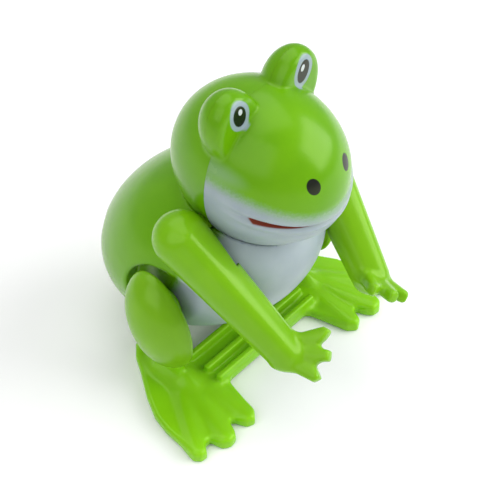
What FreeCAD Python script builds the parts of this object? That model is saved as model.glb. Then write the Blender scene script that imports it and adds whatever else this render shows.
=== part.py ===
import FreeCAD, Part
import math
import os

import Sketcher
from FreeCAD import Placement, Rotation, Vector

# A clockwork jumping frog.  +X is the frog's left, -Y is forwards, +Z is up, and the soles stand on Z = 0.
# The legs turn about one hip axle.  A clockwork in the belly turns a snail cam, and each time the cam's step
# passes the leg lever, the jump spring kicks the feet down.  The frog is drawn here cocked, at that step.

doc = FreeCAD.newDocument("jumping_frog")
dims = doc.addObject("Spreadsheet::Sheet", "Dims")

DRIVING_SIZES = [
    ("frame_y", -3.88, "moves the whole frog so that its bounding box is centred on the origin"),
    ("wall", 1.4, "wall of the moulded shells"),
    ("seam_gap", 0.05, "gap left between neighbouring mouldings"),
    # torso: a leaning egg, split by a plane into back and belly
    ("torso_y", 10.6, "torso centre"),
    ("torso_z", 22.6, "torso centre"),
    ("torso_long", 23.8, "radius along the leaning axis"),
    ("torso_deep", 16.4, "radius across the leaning axis, front to back"),
    ("torso_wide", 19.0, "radius from side to side"),
    ("torso_lean", 54.0, "lean of the long axis, forwards from upright"),
    ("seam_y", 3.4, "a point of the torso's seam plane"),
    ("seam_z", 28.9, "a point of the torso's seam plane"),
    ("seam_lean", 25.6, "lean of the seam plane, forwards from upright"),
    # head: an egg on its side, split by an upright plane into back and face
    ("head_y", -0.9, "head centre"),
    ("head_z", 46.3, "head centre"),
    ("head_tall", 14.2, "radius upwards"),
    ("head_deep", 16.1, "radius front to back"),
    ("head_wide", 13.0, "radius from side to side"),
    ("head_tip", -10.9, "the head's tip about X"),
    ("face_seam_y", -0.5, "upright seam plane between back of head and face"),
    ("neck_half", 9.0, "half width of the opening in the head's underside"),
    ("neck_front", -4.5, "front edge of that opening"),
    ("neck_back", 11.5, "back edge of that opening"),
    ("neck_top", 39.5, "how far up that opening is cut"),
    ("bump_x", 7.0, "eye bump centre"),
    ("bump_y", -1.0, "eye bump centre"),
    ("bump_z", 57.6, "eye bump centre"),
    ("bump_tall", 6.9, "eye bump radius upwards"),
    ("bump_deep", 4.8, "eye bump radius front to back"),
    ("bump_wide", 5.2, "eye bump radius from side to side"),
    ("bump_lean", 15.0, "how far each eye bump leans outwards"),
    ("bump_front", -3.3, "flat front of the eye bumps"),
    # legs
    ("hip_y", 5.5, "hip axle"),
    ("hip_z", 21.0, "hip axle"),
    ("hip_axle_radius", 1.0, "hip axle"),
    ("hip_axle_half", 21.5, "half of the hip axle's length"),
    ("arch_radius", 9.4, "clear arch in the torso's side that the thigh turns in"),
    ("arch_floor", 15.9, "distance of the arch's flat floor from the middle"),
    ("shin_inner", 16.4, "inner face of the shin"),
    ("shin_outer", 18.4, "outer face of the shin"),
    ("thigh_inner", 18.5, "flat inner face of the thigh"),
    ("thigh_y", 4.8, "thigh centre"),
    ("thigh_z", 18.8, "thigh centre"),
    ("thigh_long", 10.2, "thigh radius along its length"),
    ("thigh_deep", 6.9, "thigh radius front to back"),
    ("thigh_thick", 6.0, "how far the thigh stands out from its flat face"),
    ("thigh_lean", -18.0, "lean of the thigh about X"),
    ("foot_thick", 2.4, "web of the foot"),
    ("bar_half", 12.5, "half of the crossbar's length"),
    ("bar_front", -3.4, "front face of the crossbar"),
    ("bar_back", 5.1, "back face of the crossbar"),
    ("bar_top", 4.2, "top of the crossbar's ribs"),
    ("bar_rib", 1.2, "thickness of the crossbar's ribs and floor"),
    ("bar_lift", 0.4, "gap under the crossbar's ribs"),
    ("eye_radius", 3.0, "eye of the shin round the hip axle, and half the shin's width"),
    ("ankle_half", 6.0, "half length of the ankle block"),
    ("ankle_top", 5.0, "top of the ankle block"),
    # arms
    ("shoulder_x", 16.4, "shoulder centre"),
    ("shoulder_y", 1.6, "shoulder centre"),
    ("shoulder_z", 38.6, "shoulder centre"),
    ("arm_length", 27.0, "shoulder centre to wrist"),
    ("arm_root_radius", 4.8, "radius at the shoulder"),
    ("arm_wrist_radius", 3.3, "radius at the wrist"),
    ("hand_thick", 3.0, "thickness of the hand"),
    ("arm_inner", 12.4, "flat inner side of the shoulder, from the middle"),
    ("arm_gap", 0.35, "clearance between arm and torso"),
    ("peg_radius", 1.5, "shoulder peg"),
    ("peg_end", 8.6, "distance of the peg's inner end from the middle"),
    # clockwork
    ("plate_gap_half", 6.2, "inner face of each motor plate from the middle"),
    ("plate_thick", 1.0, "motor plate"),
    ("plate_half_long", 17.6, "half length of a motor plate"),
    ("plate_half_wide", 11.0, "half width of a motor plate"),
    ("plate_corner", 10.0, "corner radius of a motor plate"),
    ("tooth_module", 0.4, "gear module"),
    ("great_teeth", 36, "great wheel"),
    ("wheel_teeth", 30, "second and third wheels"),
    ("pinion_teeth", 10, "every pinion"),
    ("backlash", 0.06, "tooth thinning at the pitch circle"),
    ("main_y", 19.55, "winding arbor"),
    ("main_z", 22.05, "winding arbor"),
    ("second_angle", 127.0, "direction from the winding arbor to the second arbor"),
    ("cam_angle", 175.0, "direction from the second arbor to the cam arbor"),
    ("star_angle", 210.0, "direction from the cam arbor to the star arbor"),
    ("pallet_angle", 250.0, "direction from the star arbor to the pallet arbor"),
    ("pallet_distance", 4.4, "star arbor to pallet arbor"),
    ("main_radius", 1.0, "winding arbor"),
    ("arbor_radius", 0.6, "the other arbors"),
    ("running_gap", 0.05, "radial clearance of a running fit"),
    ("cam_low", 2.2, "smallest radius of the snail cam"),
    ("cam_high", 5.0, "largest radius of the snail cam"),
    ("lever_length", 7.9, "hip axle to the lever's follower pin"),
    ("follower_radius", 0.6, "follower pin"),
    ("kick_angle", 15.0, "how far the legs kick"),
    ("knob_radius", 5.2, "winding knob"),
    ("knob_start", 19.4, "inner face of the winding knob"),
    ("knob_thick", 5.2, "winding knob"),
]


def fill_sheet():
    for row, (alias, value, note) in enumerate(DRIVING_SIZES, start=1):
        dims.set(f"A{row}", alias)
        dims.set(f"B{row}", str(value))
        dims.setAlias(f"B{row}", alias)
        dims.set(f"C{row}", note)
    doc.recompute()


def size(alias):
    return float(dims.get(alias))


fill_sheet()

FRAME_Y = "Dims.frame_y"
HIP = (f"{FRAME_Y} + Dims.hip_y", "Dims.hip_z")


# ---------------------------------------------------------------- helpers for document objects

def bind(item, **expressions):
    """Bind properties to the sheet; in a keyword, __ stands for a dot."""
    for name, expression in expressions.items():
        item.setExpression(name.replace("__", "."), expression)


def place(item, x="0", y="0", z="0"):
    bind(item, Placement__Base__x=x, Placement__Base__y=y, Placement__Base__z=z)


def egg(name, x, y, z, tall, wide, deep, tip="0"):
    item = doc.addObject("Part::Ellipsoid", name)
    item.Angle1, item.Angle2, item.Angle3 = -90, 90, 360
    item.Placement = Placement(Vector(), Rotation(Vector(1, 0, 0), 1))
    bind(item, Radius1=tall, Radius2=wide, Radius3=deep, Placement__Rotation__Angle=tip)
    place(item, x, y, z)
    return item


def rod(name, x, length, radius, y, z):
    """A cylinder along +X."""
    item = doc.addObject("Part::Cylinder", name)
    item.Placement = Placement(Vector(), Rotation(Vector(0, 1, 0), 90))
    bind(item, Height=length, Radius=radius)
    place(item, x, y, z)
    return item


def block(name, x, y, z, length, width, height):
    item = doc.addObject("Part::Box", name)
    bind(item, Length=length, Width=width, Height=height)
    place(item, x, y, z)
    return item


def cut(name, base, tool):
    item = doc.addObject("Part::Cut", name)
    item.Base = base
    item.Tool = tool
    item.Refine = False
    return item


def common(name, base, tool):
    item = doc.addObject("Part::Common", name)
    item.Base = base
    item.Tool = tool
    item.Refine = False
    return item


def fuse(name, pieces):
    item = doc.addObject("Part::MultiFuse", name)
    item.Shapes = pieces
    item.Refine = False
    return item


def mirrored(name, source):
    """The same piece on the frog's other side."""
    item = doc.addObject("Part::Mirroring", name)
    item.Source = source
    item.Normal = Vector(1, 0, 0)
    return item


def shaped(name, shape, y=0.0, z=0.0, x=0.0):
    item = doc.addObject("Part::Feature", name)
    item.Shape = shape
    item.Placement = Placement(Vector(x, y, z), Rotation())
    return item


def design_body(name, y="0", z="0", x="0"):
    body = doc.addObject("PartDesign::Body", name)
    place(body, x, y, z)
    return body


def sketch(body, name, plane="YZ_Plane", offset="0"):
    item = body.newObject("Sketcher::SketchObject", name)
    planes = [feature for feature in body.Origin.OriginFeatures if feature.Role == plane]
    item.AttachmentSupport = (planes[0], [""])
    item.MapMode = "FlatFace"
    item.setExpression(".AttachmentOffset.Base.z", offset)
    return item


def ring(item, name, radius, across="0", along="0"):
    """A circle in a sketch, its radius and centre bound to the sheet."""
    curve = item.addGeometry(Part.Circle(Vector(0, 0, 0), Vector(0, 0, 1), 1.0))
    item.addConstraint(Sketcher.Constraint("Radius", curve, 1.0))
    item.addConstraint(Sketcher.Constraint("DistanceX", -1, 1, curve, 3, 0.1))
    item.addConstraint(Sketcher.Constraint("DistanceY", -1, 1, curve, 3, 0.1))
    first = item.ConstraintCount - 3
    for step, (word, expression) in enumerate((("radius", radius), ("across", across), ("along", along))):
        item.renameConstraint(first + step, f"{name}_{word}")
        item.setExpression(f"Constraints.{name}_{word}", expression)


def outline(item, points):
    """A closed outline of straight lines through the points, held where they are."""
    first = item.GeometryCount
    count = len(points)
    for start, end in zip(points, points[1:] + points[:1]):
        item.addGeometry(Part.LineSegment(Vector(*start, 0), Vector(*end, 0)))
    for index in range(count):
        item.addConstraint(Sketcher.Constraint("Block", first + index))


def pad(body, profile, name, length):
    item = body.newObject("PartDesign::Pad", name)
    item.Profile = profile
    bind(item, Length=length)
    profile.Visibility = False
    return item


def bore(body, name, radius, across="0", along="0"):
    """A round hole through the whole body, along X."""
    profile = sketch(body, f"{name}_sketch")
    ring(profile, "bore", radius, across, along)
    item = body.newObject("PartDesign::Pocket", name)
    item.Profile = profile
    item.Type = 1
    item.Midplane = True
    return item


# ---------------------------------------------------------------- positions of the clockwork's arbors

def polar_step(start, distance, angle):
    """Expressions for the point at a distance and direction from another point."""
    return (f"{start[0]} + ({distance}) * cos({angle})", f"{start[1]} + ({distance}) * sin({angle})")


GREAT_TO_PINION = "Dims.tooth_module * (Dims.great_teeth + Dims.pinion_teeth) / 2"
WHEEL_TO_PINION = "Dims.tooth_module * (Dims.wheel_teeth + Dims.pinion_teeth) / 2"
MAIN = (f"{FRAME_Y} + Dims.main_y", "Dims.main_z")
SECOND = polar_step(MAIN, GREAT_TO_PINION, "Dims.second_angle")
CAM = polar_step(SECOND, WHEEL_TO_PINION, "Dims.cam_angle")
STAR = polar_step(CAM, WHEEL_TO_PINION, "Dims.star_angle")
PALLET = polar_step(STAR, "Dims.pallet_distance", "Dims.pallet_angle")


def position(expressions):
    """The numbers behind a pair of expressions."""
    return tuple(float(dims.evalExpression(text.replace("Dims.", ""))) for text in expressions)


# ---------------------------------------------------------------- torso and head shells

def leg_arch(name, grow):
    """The room beside the torso that a leg turns in: an arch over the hip, open downwards."""
    radius = f"Dims.arch_radius + ({grow})"
    floor = f"Dims.arch_floor - ({grow})"
    over = rod(f"{name}_round", floor, "30", radius, *HIP)
    under = block(f"{name}_straight", floor, f"{HIP[0]} - ({radius})", f"{HIP[1]} - 40",
                  "30", f"2 * ({radius})", "40")
    left = fuse(f"{name}_left", [over, under])
    right = mirrored(f"{name}_right", left)
    return fuse(name, [left, right])


def head_form(name, grow):
    return egg(name, "0", f"{FRAME_Y} + Dims.head_y", "Dims.head_z", f"Dims.head_tall + ({grow})",
               f"Dims.head_wide + ({grow})", f"Dims.head_deep + ({grow})", "Dims.head_tip")


def torso_form(name, grow):
    return egg(name, "0", f"{FRAME_Y} + Dims.torso_y", "Dims.torso_z", f"Dims.torso_long + ({grow})",
               f"Dims.torso_wide + ({grow})", f"Dims.torso_deep + ({grow})", "Dims.torso_lean")


def torso_from_arm(name, turn):
    """The torso's form, grown by the arm's clearance, as an arm raised by some degrees meets it."""
    behind = "(Dims.torso_y - Dims.shoulder_y)"
    above = "(Dims.torso_z - Dims.shoulder_z)"
    y = f"{FRAME_Y} + Dims.shoulder_y + {behind} * cos({turn}) - {above} * sin({turn})"
    z = f"Dims.shoulder_z + {behind} * sin({turn}) + {above} * cos({turn})"
    return egg(name, "0", y, z, "Dims.torso_long + Dims.arm_gap", "Dims.torso_wide + Dims.arm_gap",
               "Dims.torso_deep + Dims.arm_gap", f"Dims.torso_lean + {turn}")


def seam_side(name, lean, y, z, front, gap):
    """A big block that ends at a seam plane and reaches forwards or backwards from it."""
    item = doc.addObject("Part::Box", name)
    item.Length, item.Width, item.Height = 120, 80, 160
    radians = math.radians(lean)
    normal = Vector(0, math.cos(radians), math.sin(radians))
    along = Vector(0, -math.sin(radians), math.cos(radians))
    corner = Vector(-60, y, z) - along * 80 + normal * (-80 - gap if front else gap)
    item.Placement = Placement(corner, Rotation(Vector(1, 0, 0), lean))
    return item


def seam_direction():
    """Straight back out of the torso's seam plane."""
    lean = math.radians(size("seam_lean"))
    return Vector(0, math.cos(lean), math.sin(lean)), Vector(0, -math.sin(lean), math.cos(lean))


# Each case screw: its distance from the middle, and its place up the seam plane.
CASE_SCREWS = [(-10.6, -17.0), (10.6, -17.0)]
POST_RADIUS = 2.2
SCREW_RADIUS = 0.9
SCREW_HEAD_RADIUS = 1.7
SCREW_HEAD_DEPTH = 6.0
SCREW_INTO_BELLY = 5.0


def screw_axis(x, up_seam):
    back, up = seam_direction()
    start = Vector(x, size("frame_y") + size("seam_y"), size("seam_z")) + up * up_seam
    return start, back


def along_screws(name, radius, start, end):
    """A cylinder on every case screw's axis, between two distances behind the seam plane."""
    solids = []
    for x, up_seam in CASE_SCREWS:
        foot, back = screw_axis(x, up_seam)
        solids.append(Part.makeCylinder(radius, end - start, foot + back * start, back))
    return shaped(name, Part.makeCompound(solids))


def torso_shells():
    outside = cut("torso_outside", torso_form("torso_solid", "0"), leg_arch("leg_arch", "0"))
    inside = cut("torso_inside", torso_form("torso_core", "-Dims.wall"), leg_arch("leg_arch_wall", "Dims.wall"))
    hollow = cut("torso_hollow", outside, inside)
    posts = common("screw_posts", along_screws("post_rods", POST_RADIUS, -30, 30), torso_form("post_limit", "-0.5"))
    walls = fuse("torso_walls", [hollow, posts])
    necked = cut("torso_necked", walls, head_form("neck_opening", "Dims.seam_gap"))
    bored = cut("torso_bored", necked, fuse("torso_bores", [
        rod("hip_bore", "-30", "60", "Dims.hip_axle_radius + Dims.running_gap", *HIP),
        rod("winding_bore", "0", "30", "Dims.main_radius + 0.3", *MAIN),
        rod("shoulder_bore", "-30", "60", "Dims.peg_radius + Dims.running_gap",
            f"{FRAME_Y} + Dims.shoulder_y", "Dims.shoulder_z"),
        along_screws("screw_bores", SCREW_RADIUS + 0.05, -SCREW_INTO_BELLY - 1, 40),
        along_screws("screw_head_bores", SCREW_HEAD_RADIUS + 0.1, SCREW_HEAD_DEPTH, 40),
    ]))
    seam = (size("seam_lean"), size("frame_y") + size("seam_y"), size("seam_z"))
    gap = size("seam_gap") / 2
    back = common("body_back_shell", bored, seam_side("back_side", *seam, False, gap))
    belly = common("belly_shell", bored, seam_side("belly_side", *seam, True, gap))
    return [back, belly]


def case_screws():
    solids = []
    for x, up_seam in CASE_SCREWS:
        foot, back = screw_axis(x, up_seam)
        head_start = foot + back * (SCREW_HEAD_DEPTH + 0.1)
        shank = Part.makeCylinder(SCREW_RADIUS, SCREW_INTO_BELLY + SCREW_HEAD_DEPTH + 0.2,
                                  foot - back * SCREW_INTO_BELLY, back)
        head = Part.makeCylinder(SCREW_HEAD_RADIUS, 1.4, head_start, back)
        slot = Part.makeBox(0.5, 10, 0.8, Vector(-0.25, -5, 0))
        slot.Placement = Placement(head_start + back * 0.9, Rotation(Vector(0, 0, 1), back))
        solids.append(shank.fuse(head).cut(slot).removeSplitter())
    return shaped("case_screws", Part.makeCompound(solids))


def eye_bump(name, sign):
    """A rounded bump that leans outwards, with a flat upright front that the eye is painted on."""
    form = egg(f"{name}_form", f"{sign}Dims.bump_x", f"{FRAME_Y} + Dims.bump_y", "Dims.bump_z",
               "Dims.bump_tall", "Dims.bump_wide", "Dims.bump_deep", f"{sign}Dims.bump_lean")
    form.Placement = Placement(form.Placement.Base, Rotation(Vector(0, 1, 0), 1))
    behind = block(f"{name}_behind", "-20", f"{FRAME_Y} + Dims.bump_front", "40", "40", "30", "40")
    return common(name, form, behind)


def head_shells():
    bumps = [eye_bump("eye_bump_left", ""), eye_bump("eye_bump_right", "-")]
    outside = fuse("head_outside", [head_form("head_solid", "0")] + bumps)
    hollow = cut("head_hollow", outside, head_form("head_core", "-Dims.wall"))
    neck = block("neck_room", "-Dims.neck_half", f"{FRAME_Y} + Dims.neck_front", "Dims.neck_top - 15",
                 "2 * Dims.neck_half", "Dims.neck_back - Dims.neck_front", "15")
    peg_room = rod("peg_room", "-30", "60", "Dims.peg_radius + 0.3", f"{FRAME_Y} + Dims.shoulder_y",
                   "Dims.shoulder_z")
    opened = cut("head_opened", hollow, fuse("head_openings", [neck, peg_room]))
    seam = (0, size("frame_y") + size("face_seam_y"), size("head_z"))
    gap = size("seam_gap") / 2
    back = common("head_back_shell", opened, seam_side("head_back_side", *seam, False, gap))
    face = common("face_shell", opened, seam_side("face_side", *seam, True, gap))
    return [back, face]


# ---------------------------------------------------------------- legs

# Plan of the right foot: heel, outer edge, three toes with webs between them, inner edge.
FOOT_PLAN = [(-13.4, 15.3), (-16.4, 15.4), (-20.2, 10.5), (-23.8, 5.2), (-26.8, -1.5), (-27.7, -10.4),
             (-26.0, -11.6), (-24.0, -9.6), (-21.8, -12.8), (-19.4, -12.8), (-17.9, -9.9), (-15.4, -12.7),
             (-13.3, -11.2), (-11.2, -3.4), (-10.6, 5.1), (-11.6, 11.0)]


def foot_right():
    body = design_body("foot_right_body", y=FRAME_Y)
    plan = sketch(body, "foot_plan", "XY_Plane")
    outline(plan, FOOT_PLAN)
    pad(body, plan, "foot_web", "Dims.foot_thick")
    return body


def shin_right():
    """A flat bar from the foot up to the hip axle."""
    start = "-Dims.shin_outer"
    thick = "Dims.shin_outer - Dims.shin_inner"
    bar = block("shin_bar", start, f"{HIP[0]} - Dims.eye_radius", "0", thick, "2 * Dims.eye_radius", "Dims.hip_z")
    eye = rod("shin_eye", start, thick, "Dims.eye_radius", *HIP)
    heel = block("ankle", start, f"{HIP[0]} - Dims.ankle_half", "0", thick, "2 * Dims.ankle_half", "Dims.ankle_top")
    return [bar, eye, heel]


def feet_and_crossbar():
    right = fuse("leg_right", [foot_right()] + shin_right())
    left = mirrored("leg_left", right)
    length = "2 * Dims.bar_half"
    depth = "Dims.bar_back - Dims.bar_front"
    front = f"{FRAME_Y} + Dims.bar_front"
    floor = block("bar_floor", "-Dims.bar_half", front, "Dims.bar_rib", length, depth, "Dims.bar_rib")
    ribs = [block(f"bar_rib_{index}", "-Dims.bar_half", f"{front} + ({depth} - Dims.bar_rib) * {share}",
                  "Dims.bar_lift", length, "Dims.bar_rib", "Dims.bar_top - Dims.bar_lift")
            for index, share in enumerate((0, 0.42, 1))]
    whole = fuse("feet_whole", [right, left, floor] + ribs)
    return cut("feet_and_crossbar", whole, rod("shin_bores", "-30", "60", "Dims.hip_axle_radius", *HIP))


def thighs():
    form = egg("thigh_form", "-Dims.thigh_inner", f"{FRAME_Y} + Dims.thigh_y", "Dims.thigh_z",
               "Dims.thigh_long", "Dims.thigh_thick", "Dims.thigh_deep", "Dims.thigh_lean")
    outer = common("thigh_outer", form, block("thigh_side", "-Dims.thigh_inner - 20", "-40", "-10",
                                              "20", "80", "80"))
    right = cut("thigh_right", outer, rod("thigh_bore", "-Dims.hip_axle_half", "30", "Dims.hip_axle_radius", *HIP))
    return [right, mirrored("thigh_left", right)]


def hip_axle():
    return rod("hip_axle", "-Dims.hip_axle_half", "2 * Dims.hip_axle_half", "Dims.hip_axle_radius", *HIP)


# The snail cam and the leg lever run side by side along X.
CAM_START, CAM_THICK = -2.6, 1.8
LEVER_START, LEVER_THICK = CAM_START + CAM_THICK + 0.15, 1.2


def follower_place(turned):
    """The follower pin's centre seen from the hip axle when the legs have kicked by some angle."""
    hip, cam = position(HIP), position(CAM)
    reach = math.dist(hip, cam)
    length = size("lever_length")
    cocked = size("cam_high") + size("follower_radius") + 0.12
    at_hip = math.acos((length ** 2 + reach ** 2 - cocked ** 2) / (2 * length * reach))
    heading = math.atan2(cam[1] - hip[1], cam[0] - hip[0]) - at_hip + math.radians(turned)
    return (length * math.cos(heading), length * math.sin(heading))


def leg_lever():
    """Hub on the hip axle, an arm and a round follower beside the snail cam's rim."""
    body = design_body("leg_lever", y=HIP[0], z=HIP[1])
    pin = follower_place(0)
    length = math.hypot(*pin)
    along = (pin[0] / length, pin[1] / length)
    across = (-along[1], along[0])
    hub_radius, tip_radius = 2.1, size("follower_radius")

    arm = sketch(body, "arm_outline", offset=str(LEVER_START))
    outline(arm, [(across[0] * hub_radius * 0.8, across[1] * hub_radius * 0.8),
                  (-across[0] * hub_radius * 0.8, -across[1] * hub_radius * 0.8),
                  (pin[0] - across[0] * tip_radius, pin[1] - across[1] * tip_radius),
                  (pin[0] + across[0] * tip_radius, pin[1] + across[1] * tip_radius)])
    pad(body, arm, "arm", str(LEVER_THICK))
    hub = sketch(body, "hub_outline", offset=str(LEVER_START - 2.4))
    ring(hub, "hub", str(hub_radius))
    pad(body, hub, "hub", str(LEVER_THICK + 2.5))
    tip = sketch(body, "tip_outline", offset=str(LEVER_START))
    ring(tip, "tip", "Dims.follower_radius", str(pin[0]), str(pin[1]))
    pad(body, tip, "tip", str(LEVER_THICK))
    bore(body, "axle_bore", "Dims.hip_axle_radius")
    return body


# ---------------------------------------------------------------- arms

def facing(along, across):
    """A rotation whose x runs along one vector, and whose y leans towards another."""
    along = Vector(*along).normalize()
    across = Vector(*across)
    across = (across - along * across.dot(along)).normalize()
    return Rotation(along, across, along.cross(across), "XYZ")


# The right arm points down, forwards and inwards; the hand bends forwards at the wrist.
ARM_ALONG, ARM_ACROSS = (0.208, -0.705, -0.679), (1.0, 0.2, 0.1)
HAND_ALONG, HAND_ACROSS = (0.5, -0.86, 0.1), (-0.79, -0.11, -0.6)

# Plan of the hand from the wrist: three fingers with webs between them.
HAND_PLAN = [(-1.0, -2.6), (2.6, -3.2), (5.4, -4.2), (6.0, -3.2), (4.8, -1.6), (7.0, -0.9), (7.0, 0.9),
             (4.8, 1.6), (6.0, 3.2), (5.4, 4.2), (2.6, 3.2), (-1.0, 2.6)]


# The arm clears the torso at each of these angles, from rest to fully raised.
ARM_TURNS = (0, 10, 20, 30)


def arms():
    """A tapered arm with a ball at the shoulder, a flat hand and a peg into the torso."""
    length, root, wrist = size("arm_length"), size("arm_root_radius"), size("arm_wrist_radius")
    thick = size("hand_thick")
    upper = Part.makeCone(root, wrist, length, Vector(), Vector(1, 0, 0))
    bone = Part.makeSphere(root).fuse([upper, Part.makeSphere(wrist, Vector(length, 0, 0))])
    turned = facing(ARM_ALONG, ARM_ACROSS)
    bone.Placement = Placement(Vector(), turned)
    plan = [Vector(x, y, -thick / 2) for x, y in HAND_PLAN]
    hand = Part.Face(Part.makePolygon(plan + plan[:1])).extrude(Vector(0, 0, thick))
    hand.Placement = Placement(turned.multVec(Vector(length, 0, 0)), facing(HAND_ALONG, HAND_ACROSS))
    centre = Vector(-size("shoulder_x"), size("frame_y") + size("shoulder_y"), size("shoulder_z"))
    limb = shaped("arm_form", bone.fuse(hand).removeSplitter(), centre.y, centre.z, centre.x)
    beside_neck = shaped("beside_neck", Part.makeSphere(root * 1.5, centre))
    inner = common("arm_inner_side", block("inner_half", "-Dims.arm_inner", "-60", "0", "30", "120", "80"),
                   beside_neck)
    trimmed = cut("arm_flattened", limb, inner)
    for turn in ARM_TURNS:
        trimmed = cut(f"arm_clear_{turn}", trimmed, torso_from_arm(f"torso_at_{turn}", turn))
    peg = rod("shoulder_peg", "-Dims.shoulder_x", "Dims.shoulder_x - Dims.peg_end", "Dims.peg_radius",
              f"{FRAME_Y} + Dims.shoulder_y", "Dims.shoulder_z")
    right = fuse("arm_right", [trimmed, peg])
    return [right, mirrored("arm_left", right)]


# ---------------------------------------------------------------- gears

def involute(angle):
    return math.tan(angle) - angle


def gear_outline(teeth, addendum):
    """Half-tooth angles from tip to root, as (radius, half angle) pairs."""
    module = size("tooth_module")
    pitch = module * teeth / 2
    base = pitch * math.cos(math.radians(20))
    root = pitch - 1.25 * module
    tip = pitch + addendum * module
    half_at_pitch = math.pi / (2 * teeth) - size("backlash") / (2 * pitch)
    start = max(base, root)
    samples = 4
    pairs = []
    for step in range(samples + 1):
        radius = tip + (start - tip) * step / samples
        half = half_at_pitch + involute(math.radians(20)) - involute(math.acos(min(1.0, base / radius)))
        pairs.append((radius, half))
    if root < start:
        pairs.append((root, pairs[-1][1]))
    return pairs


def gear(teeth, start, thick, bore_radius, phase, addendum=0.8):
    """An involute gear about the X axis, with one tooth centred at the phase angle."""
    flank = gear_outline(teeth, addendum)
    points = []
    for tooth in range(teeth):
        middle = phase + 2 * math.pi * tooth / teeth
        for radius, half in reversed(flank):
            points.append((radius, middle - half))
        for radius, half in flank:
            points.append((radius, middle + half))
    return toothed_disc(points, start, thick, bore_radius)


def toothed_disc(points, start, thick, bore_radius):
    """A disc about the X axis whose rim runs through (radius, angle) points."""
    rim = [Vector(start, radius * math.cos(angle), radius * math.sin(angle)) for radius, angle in points]
    disc = Part.Face(Part.makePolygon(rim + rim[:1])).extrude(Vector(thick, 0, 0))
    return disc.cut(tube(start - 1, thick + 2, bore_radius))


def tube(start, length, radius, y=0.0, z=0.0):
    return Part.makeCylinder(radius, length, Vector(start, y, z), Vector(1, 0, 0))


def meshed_phase(first_teeth, first_phase, heading, second_teeth):
    """The phase that puts a second gear's gap on the first gear's tooth along the line of centres."""
    return heading + math.pi - (first_phase - heading) * first_teeth / second_teeth - math.pi / second_teeth


def spokes(disc, count, radius, hole, start, thick):
    """Lightening holes round a wheel."""
    holes = [tube(start - 1, thick + 2, hole, radius * math.cos(angle), radius * math.sin(angle))
             for angle in (2 * math.pi * step / count for step in range(count))]
    return disc.cut(holes)


WHEEL_ADDENDUM, PINION_ADDENDUM = 0.8, 0.9
GREAT_START, GREAT_THICK = 0.4, 1.2
RATCHET_START, RATCHET_THICK = -0.8, 1.0
SECOND_PINION_START, SECOND_WHEEL_START = 0.2, 2.6
CAM_PINION_START, THIRD_WHEEL_START = 2.4, -4.6
STAR_PINION_START, STAR_START = -4.8, 0.0
PINION_THICK, WHEEL_THICK = 1.5, 1.0
RATCHET_TEETH, STAR_TEETH = 12, 10
CLICK_HEADING = math.radians(-35)
CLICK_REACH = 5.3


def great_wheel():
    disc = gear(int(size("great_teeth")), GREAT_START, GREAT_THICK, size("main_radius") + size("running_gap"),
                0.0, WHEEL_ADDENDUM)
    pin = tube(GREAT_START - 1, GREAT_THICK + 2, 0.5, CLICK_REACH * math.cos(CLICK_HEADING),
               CLICK_REACH * math.sin(CLICK_HEADING))
    return shaped("great_wheel", disc.cut(pin), *position(MAIN))


def ratchet_wheel():
    outer, inner = 3.4, 2.6
    points = []
    for tooth in range(RATCHET_TEETH):
        angle = CLICK_HEADING + 2 * math.pi * tooth / RATCHET_TEETH
        points.append((inner, angle))
        points.append((outer, angle + 0.02))
    disc = toothed_disc(points, RATCHET_START, RATCHET_THICK, size("main_radius"))
    return shaped("ratchet_wheel", disc, *position(MAIN))


def click():
    """The pawl that locks the great wheel to the ratchet wheel one way, with its springy tail."""
    pivot = (CLICK_REACH * math.cos(CLICK_HEADING), CLICK_REACH * math.sin(CLICK_HEADING))

    def polar(radius, turn):
        angle = CLICK_HEADING + math.radians(turn)
        return (radius * math.cos(angle), radius * math.sin(angle))

    body = design_body("click", *MAIN)
    nose = sketch(body, "nose_outline", offset=str(RATCHET_START))
    outline(nose, [polar(6.0, -5), polar(6.0, 7), polar(4.4, 24), polar(3.15, 27.5), polar(3.65, 17), polar(4.4, -5)])
    pad(body, nose, "nose", str(RATCHET_THICK))
    tail = sketch(body, "tail_outline", offset=str(RATCHET_START))
    outline(tail, [polar(5.9, -3), polar(5.5, -3), polar(4.9, -26), polar(4.2, -46), polar(4.5, -47),
                   polar(5.25, -27)])
    pad(body, tail, "tail", str(RATCHET_THICK))
    bore(body, "pin_bore", "0.5", str(pivot[0]), str(pivot[1]))
    return body


def click_pin():
    main = position(MAIN)
    pivot = (main[0] + CLICK_REACH * math.cos(CLICK_HEADING), main[1] + CLICK_REACH * math.sin(CLICK_HEADING))
    return rod("click_pin", str(RATCHET_START), str(GREAT_START + GREAT_THICK - RATCHET_START), "0.5",
               str(pivot[0]), str(pivot[1]))


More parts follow.
